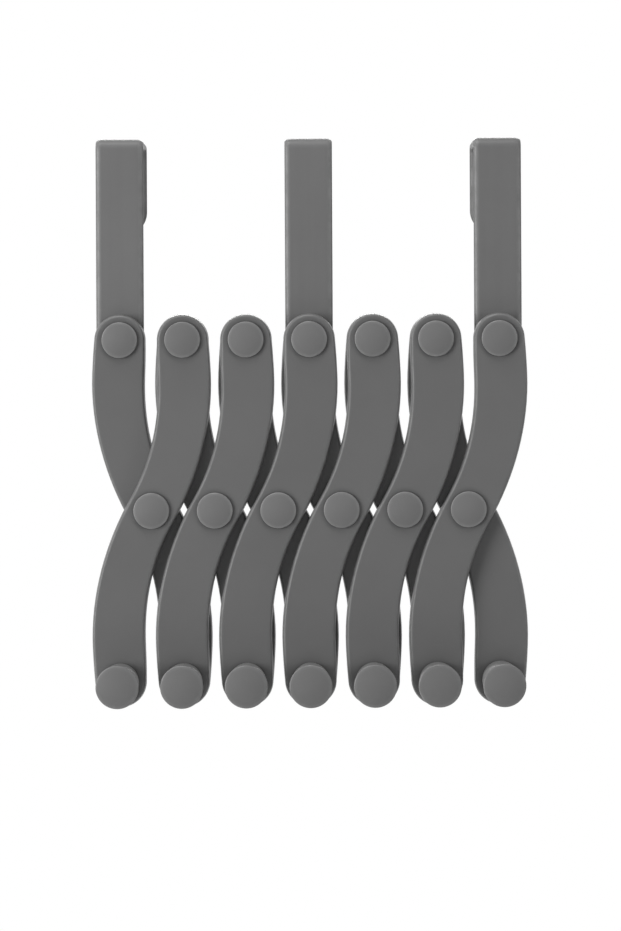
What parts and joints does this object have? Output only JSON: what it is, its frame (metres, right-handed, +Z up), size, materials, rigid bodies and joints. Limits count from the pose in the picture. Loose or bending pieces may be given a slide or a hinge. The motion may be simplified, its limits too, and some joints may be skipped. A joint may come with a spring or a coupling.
{
  "type": "over-the-door accordion hanger",
  "caption": "Over-the-door accordion hanger: S-shaped links cross in two layers and fold like a scissor lattice, carried by hook straps above, with long pegs below for clothes.",
  "frame": {"origin": "centre of the flat underside of the centre strap's bridge, which rests on the top edge of the door", "axes": "+Z up; -Y to the front, the way the pegs point; +X to the right seen from the front"},
  "size_m": [0.2262, 0.0929, 0.2954],
  "materials": {
    "link_plastic": "matte moulded, fine grain",
    "strap_plastic": "matte moulded, fine grain",
    "pin_plastic": "satin moulded"
  },
  "bodies": {
    "centre_strap": {"strap_centre": "strap_plastic"},
    "front_link_1": {"front_link_1": "link_plastic", "middle_cap_1": "pin_plastic", "peg_1": "pin_plastic", "top_cap_2": "pin_plastic", "spacer_low_left": "link_plastic"},
    "rear_link_1": {"rear_link_1": "link_plastic"},
    "front_link_2": {"front_link_2": "link_plastic", "middle_cap_2": "pin_plastic", "peg_2": "pin_plastic", "top_cap_3": "pin_plastic"},
    "rear_link_2": {"rear_link_2": "link_plastic"},
    "front_link_3": {"front_link_3": "link_plastic", "middle_cap_3": "pin_plastic", "peg_3": "pin_plastic", "top_cap_4": "pin_plastic"},
    "rear_link_3": {"rear_link_3": "link_plastic"},
    "front_link_4": {"front_link_4": "link_plastic", "middle_cap_4": "pin_plastic", "peg_4": "pin_plastic", "top_cap_5": "pin_plastic"},
    "rear_link_4": {"rear_link_4": "link_plastic"},
    "front_link_5": {"front_link_5": "link_plastic", "middle_cap_5": "pin_plastic", "peg_5": "pin_plastic", "top_cap_6": "pin_plastic"},
    "rear_link_5": {"rear_link_5": "link_plastic"},
    "front_link_6": {"front_link_6": "link_plastic", "middle_cap_6": "pin_plastic", "peg_6": "pin_plastic"},
    "rear_link_6": {"rear_link_6": "link_plastic", "peg_7": "pin_plastic"},
    "left_strap": {"strap_left": "strap_plastic", "top_cap_1": "pin_plastic"},
    "right_strap": {"strap_right": "strap_plastic", "top_cap_7": "pin_plastic", "spacer_top_right": "link_plastic"}
  },
  "joints": [
    {"name": "fold", "type": "hinge", "parent": "centre_strap", "child": "front_link_3", "pos_m": [0, -0.0233, -0.101], "axis": [0, 1, 0], "range_deg": [-1, 35]},
    {"name": "rear_4_at_top_4", "type": "hinge", "parent": "centre_strap", "child": "rear_link_4", "pos_m": [0, -0.0233, -0.101], "axis": [0, 1, 0], "range_deg": [-35, 1]},
    {"name": "rear_3_at_middle_3", "type": "hinge", "parent": "front_link_3", "child": "rear_link_3", "pos_m": [-0.01642, -0.0233, -0.18949], "axis": [0, 1, 0], "range_deg": [-70, 2]},
    {"name": "front_2_at_top_3", "type": "hinge", "parent": "rear_link_3", "child": "front_link_2", "pos_m": [-0.03285, -0.0233, -0.101], "axis": [0, 1, 0], "range_deg": [-2, 70]},
    {"name": "rear_2_at_middle_2", "type": "hinge", "parent": "front_link_2", "child": "rear_link_2", "pos_m": [-0.04927, -0.0233, -0.18949], "axis": [0, 1, 0], "range_deg": [-70, 2]},
    {"name": "front_1_at_top_2", "type": "hinge", "parent": "rear_link_2", "child": "front_link_1", "pos_m": [-0.0657, -0.0233, -0.101], "axis": [0, 1, 0], "range_deg": [-2, 70]},
    {"name": "rear_1_at_middle_1", "type": "hinge", "parent": "front_link_1", "child": "rear_link_1", "pos_m": [-0.08212, -0.0233, -0.18949], "axis": [0, 1, 0], "range_deg": [-70, 2]},
    {"name": "left_strap_at_top_1", "type": "hinge", "parent": "rear_link_1", "child": "left_strap", "pos_m": [-0.09854, -0.0233, -0.101], "axis": [0, 1, 0], "range_deg": [-1, 35]},
    {"name": "front_4_at_middle_4", "type": "hinge", "parent": "rear_link_4", "child": "front_link_4", "pos_m": [0.01642, -0.0233, -0.18949], "axis": [0, 1, 0], "range_deg": [-2, 70]},
    {"name": "rear_5_at_top_5", "type": "hinge", "parent": "front_link_4", "child": "rear_link_5", "pos_m": [0.03285, -0.0233, -0.101], "axis": [0, 1, 0], "range_deg": [-70, 2]},
    {"name": "front_5_at_middle_5", "type": "hinge", "parent": "rear_link_5", "child": "front_link_5", "pos_m": [0.04927, -0.0233, -0.18949], "axis": [0, 1, 0], "range_deg": [-2, 70]},
    {"name": "rear_6_at_top_6", "type": "hinge", "parent": "front_link_5", "child": "rear_link_6", "pos_m": [0.0657, -0.0233, -0.101], "axis": [0, 1, 0], "range_deg": [-70, 2]},
    {"name": "front_6_at_middle_6", "type": "hinge", "parent": "rear_link_6", "child": "front_link_6", "pos_m": [0.08212, -0.0233, -0.18949], "axis": [0, 1, 0], "range_deg": [-2, 70]},
    {"name": "right_strap_at_top_7", "type": "hinge", "parent": "front_link_6", "child": "right_strap", "pos_m": [0.09854, -0.0233, -0.101], "axis": [0, 1, 0], "range_deg": [-35, 1]}
  ],
  "couplings": [
    {"joint": "rear_4_at_top_4", "follows": "fold", "ratio": -1},
    {"joint": "rear_3_at_middle_3", "follows": "fold", "ratio": -2},
    {"joint": "front_2_at_top_3", "follows": "fold", "ratio": 2},
    {"joint": "rear_2_at_middle_2", "follows": "fold", "ratio": -2},
    {"joint": "front_1_at_top_2", "follows": "fold", "ratio": 2},
    {"joint": "rear_1_at_middle_1", "follows": "fold", "ratio": -2},
    {"joint": "left_strap_at_top_1", "follows": "fold", "ratio": 1},
    {"joint": "front_4_at_middle_4", "follows": "fold", "ratio": 2},
    {"joint": "rear_5_at_top_5", "follows": "fold", "ratio": -2},
    {"joint": "front_5_at_middle_5", "follows": "fold", "ratio": 2},
    {"joint": "rear_6_at_top_6", "follows": "fold", "ratio": -2},
    {"joint": "front_6_at_middle_6", "follows": "fold", "ratio": 2},
    {"joint": "right_strap_at_top_7", "follows": "fold", "ratio": -1}
  ]
}
